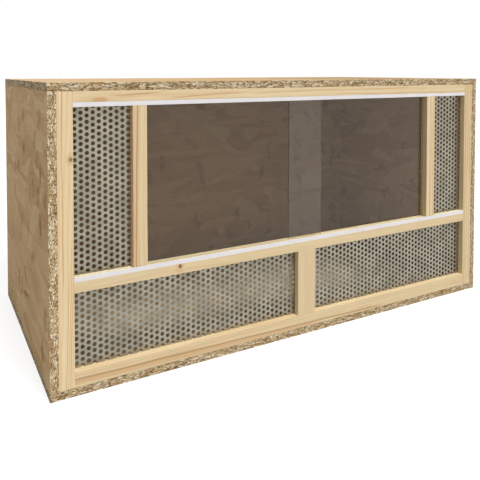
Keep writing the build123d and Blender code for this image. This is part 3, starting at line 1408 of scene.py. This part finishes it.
class Panes(Assembly):
    """The two sliding glass panes, with ground edges."""

    panes = (Pane("left_glass_pane", Body.LEFT_PANE), Pane("right_glass_pane", Body.RIGHT_PANE))
    face_finish = GlassFinish("pane_clear", (253, 249, 243), 1.34, 0.0, (247, 244, 240))
    edge_finish = GlassFinish("pane_ground_edge", (206, 214, 204), 1.45, 0.3, (230, 234, 230))

    def build(self) -> list[bpy.types.Object]:
        """Builds the panes.

        Returns:
            One piece for each pane.
        """
        materials = [finish.material(self.effects) for finish in (self.face_finish, self.edge_finish)]
        return [dressed(pane.node + "_ground", pane.shape(), materials, pane.body, pane.node)
                for pane in self.panes]


@dataclass(frozen=True)
class Vent:
    """One perforated sheet, by its node and where one of its holes lies, in metres.

    Its round holes are staggered: every second column lies half a row off. Spare cells run past the sheet
    and are cut away.
    """

    node: str
    first_hole: tuple[float, float]
    column: float = 0.01083
    row: float = 0.01106
    radius: float = 0.0038
    sides: int = 12
    spare: int = 4

    def cell(self) -> bmesh.types.BMesh:
        """Makes one six-sided cell round a hole, flat and facing the front.

        Returns:
            A new bmesh.
        """
        made = bmesh.new()
        near, far, half = self.column / 3, self.column * 2 / 3, self.row / 2
        outline = ((-near, half), (near, half), (far, 0.0), (near, -half), (-near, -half), (-far, 0.0))
        rim = [made.verts.new((x, 0.0, z)) for x, z in outline]
        bmesh.ops.create_circle(made, cap_ends=False, segments=self.sides, radius=self.radius,
                                matrix=Matrix.Rotation(math.radians(90), 4, "X"))
        for pair in zip(rim, rim[1:] + rim[:1]):
            made.edges.new(pair)
        bmesh.ops.triangle_fill(made, use_beauty=True, use_dissolve=False, edges=made.edges[:],
                                normal=(0.0, -1.0, 0.0))
        return made

    def places(self) -> list[Matrix]:
        """Works out where the cells go.

        Returns:
            The place of each cell.
        """
        low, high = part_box(self.node)
        hole_x, hole_z = self.first_hole
        columns = math.ceil((high.x - low.x) / self.column) + self.spare
        rows = math.ceil((high.z - low.z) / self.row) + self.spare
        start = math.floor((low.x - hole_x) / (2 * self.column)) * 2 - 1
        base = math.floor((low.z - hole_z) / self.row) - 1
        return [
            Matrix.Translation((hole_x + column * self.column, low.y,
                                hole_z + (row + 0.5 * (column % 2)) * self.row))
            for column in range(start, start + columns) for row in range(base, base + rows)
        ]

    def shape(self) -> bmesh.types.BMesh:
        """Makes the whole sheet, cuts it to size and gives it its thickness.

        Returns:
            A new bmesh.
        """
        low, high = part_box(self.node)
        made = scattered(self.cell(), self.places())
        bmesh.ops.remove_doubles(made, verts=made.verts[:], dist=TOUCHING)
        for axis in (Axis.X, Axis.Z):
            for corner, sign in ((low, -1.0), (high, 1.0)):
                normal = [0.0, 0.0, 0.0]
                normal[axis.value] = sign
                bmesh.ops.bisect_plane(made, geom=made.verts[:] + made.edges[:] + made.faces[:],
                                       dist=SAME_PLACE, plane_co=corner, plane_no=normal, clear_outer=True)
        bmesh.ops.recalc_face_normals(made, faces=made.faces)
        if made.faces[:][0].normal.y > 0:
            bmesh.ops.reverse_faces(made, faces=made.faces)
        bmesh.ops.solidify(made, geom=made.faces[:], thickness=high.y - low.y)
        bmesh.ops.recalc_face_normals(made, faces=made.faces)
        return made


class Vents(Assembly):
    """The three perforated sheets."""

    vents = (
        Vent("upper_left_vent", (0.00654, 0.00434)),
        Vent("upper_right_vent", (0.01652, 0.01125)),
        Vent("lower_vent", (0.00675, 0.0068)),
    )
    finish = MetalFinish("sheet_satin", (148, 144, 131), (171, 166, 151), rough=0.42, grain=0.7,
                         relief=0.00004)

    def build(self) -> list[bpy.types.Object]:
        """Builds the sheets.

        Returns:
            One piece for each sheet.
        """
        metal = self.finish.material(self.effects)
        return [dressed(vent.node + "_punched", vent.shape(), [metal], Body.CASE, vent.node)
                for vent in self.vents]


@dataclass(frozen=True)
class Screw:
    """A countersunk wood screw with a cross recess, its head's top at the origin. Sizes are in metres."""

    length: float = 0.030
    head: float = 0.0037
    head_edge: float = 0.0003
    shank: float = 0.0019
    root: float = 0.0014
    neck: float = 0.002
    turns: int = 11
    root_at: float = 0.3
    crest_at: float = 0.75
    sides: int = 20
    recess_reach: float = 0.0021
    recess_half: float = 0.00045
    recess_depth: float = 0.0016
    recess_taper: float = 0.6

    def outline(self) -> Profile:
        """Draws the side of the screw, with the thread as ridges.

        Returns:
            Pairs of radius and height, from the head down to the point.
        """
        points = [(self.head, 0.0), (self.head, -self.head_edge), (self.shank, -self.neck),
                  (self.shank, -self.neck * 2)]
        pitch = (self.length - self.neck * 3) / (self.turns + 1)
        for turn in range(self.turns):
            top = -self.neck * 2 - turn * pitch
            points += [(self.root, top - pitch * self.root_at), (self.shank, top - pitch * self.crest_at)]
        return points + [(self.root, -self.length + pitch), (0.0, -self.length)]

    def turned(self) -> bmesh.types.BMesh:
        """Turns the screw, open at the top of its head.

        Returns:
            A new bmesh.
        """
        made = bmesh.new()
        line = [made.verts.new((radius, 0.0, height)) for radius, height in self.outline()]
        chain = [made.edges.new(pair) for pair in zip(line, line[1:])]
        bmesh.ops.spin(made, geom=line + chain, cent=(0, 0, 0), axis=(0, 0, 1), dvec=(0, 0, 0),
                       angle=math.tau, steps=self.sides, use_merge=True, use_duplicate=False)
        bmesh.ops.remove_doubles(made, verts=made.verts[:], dist=SAME_PLACE)
        return made

    def shape(self) -> bmesh.types.BMesh:
        """Makes the screw with its cross recess.

        Returns:
            A new bmesh.
        """
        made = self.turned()
        rim = [e for e in made.edges if e.is_boundary]
        half, reach = self.recess_half, self.recess_reach
        quarter = [(half, half), (half, reach), (-half, reach)]
        corners = []
        for turn in range(4):
            spun = Matrix.Rotation(turn * math.pi / 2, 3, "Z")
            corners += [made.verts.new(spun @ Vector((x, y, 0.0))) for x, y in quarter]
        cross = [made.edges.new(pair) for pair in zip(corners, corners[1:] + corners[:1])]
        bmesh.ops.triangle_fill(made, use_beauty=True, use_dissolve=False, edges=rim + cross,
                                normal=(0, 0, 1))
        sunk = bmesh.ops.extrude_edge_only(made, edges=cross)["geom"]
        floor = [v for v in sunk if isinstance(v, bmesh.types.BMVert)]
        bmesh.ops.scale(made, vec=(self.recess_taper, self.recess_taper, 1.0), verts=floor)
        bmesh.ops.translate(made, vec=(0.0, 0.0, -self.recess_depth), verts=floor)
        bmesh.ops.holes_fill(made, edges=[e for e in sunk if isinstance(e, bmesh.types.BMEdge)], sides=0)
        bmesh.ops.recalc_face_normals(made, faces=made.faces)
        return made


class Screws(Assembly):
    """The screws of the top and the bottom board, each turned a little further than the last."""

    screw = Screw()
    finish = MetalFinish("screw_zinc", (168, 164, 152), (205, 202, 192), rough=0.3, grain=2.0,
                         relief=0.00002)
    places = (
        (-0.210, -0.260), (0.210, -0.260), (-0.518, -0.260), (0.518, -0.260), (-0.5325, 0.0), (0.5325, 0.0),
        (-0.5325, 0.2052), (0.5325, 0.2052), (-0.399, 0.2625), (0.0, 0.2625), (0.399, 0.2625),
    )
    turn_step = 0.7
    round_under = 40.0

    def build(self) -> list[bpy.types.Object]:
        """Builds the screws.

        Returns:
            One piece for the screws of each board.
        """
        zinc = self.finish.material(self.effects)
        pieces = []
        boards = (("top_panel_screws", CAD_BOX[1].z, 0.0), ("bottom_panel_screws", 0.0, math.pi))
        for node, height, flip in boards:
            places = [
                Matrix.Translation((x, y, height)) @ Matrix.Rotation(flip, 4, "X")
                @ Matrix.Rotation(self.turn_step * number, 4, "Z")
                for number, (x, y) in enumerate(self.places)
            ]
            pieces.append(dressed(node + "_driven", scattered(self.screw.shape(), places), [zinc],
                                  Body.CASE, node, self.round_under))
        return pieces


class Dowels(Assembly):
    """The hidden dowels, which are the CAD nodes with a beech finish."""

    nodes = ("rail_dowels", "mullion_dowels", "post_dowels")
    finish = BeechFinish("dowel_beech")

    def build(self) -> list[bpy.types.Object]:
        """Returns the dowels with their finish."""
        beech = self.finish.material(self.effects)
        return [self.dress_node(node, beech) for node in self.nodes]


@dataclass
class Studio:
    """Camera, lamps, background and floor.

    The upright edges of the photograph are parallel, which takes a shifted lens. The camera tilts a little,
    so that the shift stays small. Angles are in degrees, but for a lamp's spread, which is in radians.
    """

    focal_pixels: float = 566.26
    frame_pixels: float = 480.0
    sensor: float = 36.0
    place: tuple[float, float, float] = (-0.7237, -1.2575, 0.5688)
    heading: float = 29.004
    tilt: float = 1.872
    middle_column: float = 235.71
    horizon_row: float = 90.0
    near_limit: float = 0.01
    far_limit: float = 100.0
    lamp_spread: float = 0.35
    key_strength: float = 2.4
    key_from: tuple[float, float, float] = (0.15, -0.57, 0.8)
    back_strength: float = 0.7
    back_from: tuple[float, float, float] = (0.05, 0.9, 0.3)
    ambient: float = 0.46
    floor_reach: float = 15.0
    floor_height: float = -0.0004
    floor_tone: float = 0.3
    floor_glow: float = 0.8

    def place_object(self, name: str, data: bpy.types.ID) -> bpy.types.Object:
        """Makes an object and puts it in the scene.

        Args:
            name: Name of the object.
            data: Its camera, lamp or mesh.

        Returns:
            The object.
        """
        made = bpy.data.objects.new(name, data)
        bpy.context.scene.collection.objects.link(made)
        return made

    def camera(self) -> None:
        """Puts the camera where the photograph was taken from."""
        data = bpy.data.cameras.new("viewpoint")
        data.sensor_width = self.sensor
        data.lens = self.focal_pixels / self.frame_pixels * self.sensor
        data.shift_x = (self.frame_pixels / 2 - self.middle_column) / self.frame_pixels
        data.shift_y = (self.horizon_row - self.frame_pixels / 2) / self.frame_pixels
        data.clip_start, data.clip_end = self.near_limit, self.far_limit
        eye = self.place_object("viewpoint", data)
        eye.location = self.place
        eye.rotation_euler = (math.radians(90.0 - self.tilt), 0.0, -math.radians(self.heading))
        bpy.context.scene.camera = eye

    def sun(self, name: str, strength: float, source: Sequence[float]) -> None:
        """Adds one broad lamp far away.

        Args:
            name: Name of the lamp.
            strength: Its strength.
            source: The direction that its light comes from.
        """
        data = bpy.data.lights.new(name, "SUN")
        data.energy = strength
        data.angle = self.lamp_spread
        self.place_object(name, data).rotation_euler = Vector(source).to_track_quat("Z", "Y").to_euler()

    def seen(self, graph: Graph) -> Socket:
        """Tells a look from scattered light.

        Args:
            graph: Where the nodes go.

        Returns:
            1 where the camera, a reflection or clear glass looks, and 0 for light that scatters.
        """
        path = graph.node("LightPath").outputs
        direct = graph.most(path["Is Camera Ray"], path["Is Glossy Ray"])
        return graph.most(direct, path["Is Transmission Ray"])

    def background(self) -> None:
        """Makes the world white to the eye and dimmer as a light."""
        world = bpy.data.worlds.new("studio")
        world.use_nodes = True
        graph = Graph(world.node_tree)
        shade = world.node_tree.nodes["Background"]
        shade.inputs["Color"].default_value = WHITE
        graph.feed(shade.inputs["Strength"], graph.span(self.seen(graph), 0.0, 1.0, self.ambient, 1.0))
        bpy.context.scene.world = world

    def floor(self) -> None:
        """Lays a pale floor that keeps the shadow."""
        made = bmesh.new()
        bmesh.ops.create_grid(made, x_segments=1, y_segments=1, size=self.floor_reach,
                              matrix=Matrix.Translation((0.0, 0.0, self.floor_height)))
        mesh = bpy.data.meshes.new("floor")
        made.to_mesh(mesh)
        made.free()
        material = bpy.data.materials.new("floor_pale")
        material.use_nodes = True
        graph = Graph(material.node_tree)
        nodes = material.node_tree.nodes
        nodes.remove(nodes["Principled BSDF"])
        matte = graph.node("BsdfDiffuse", {"Color": grey(self.floor_tone)}).outputs[0]
        strength = graph.times(self.seen(graph), self.floor_glow)
        glow = graph.node("Emission", {"Color": WHITE, "Strength": strength}).outputs[0]
        both = graph.node("AddShader", {0: matte, 1: glow}).outputs[0]
        graph.feed(nodes["Material Output"].inputs[0], both)
        mesh.materials.append(material)
        self.place_object("floor", mesh)

    def build(self) -> None:
        """Sets up the whole studio."""
        bpy.context.scene.view_settings.view_transform = "Standard"
        self.camera()
        self.sun("key", self.key_strength, self.key_from)
        self.sun("back", self.back_strength, self.back_from)
        self.background()
        self.floor()


def main() -> None:
    """Builds the studio and every assembly."""
    logging.basicConfig(level=logging.INFO, format="%(name)s: %(message)s")
    Studio().build()
    effects = Effects()
    for kind in (StrandBoards, Battens, Tracks, Panes, Vents, Screws, Dowels):
        for piece in kind(effects).build():
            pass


if __name__ == "__main__":
    main()
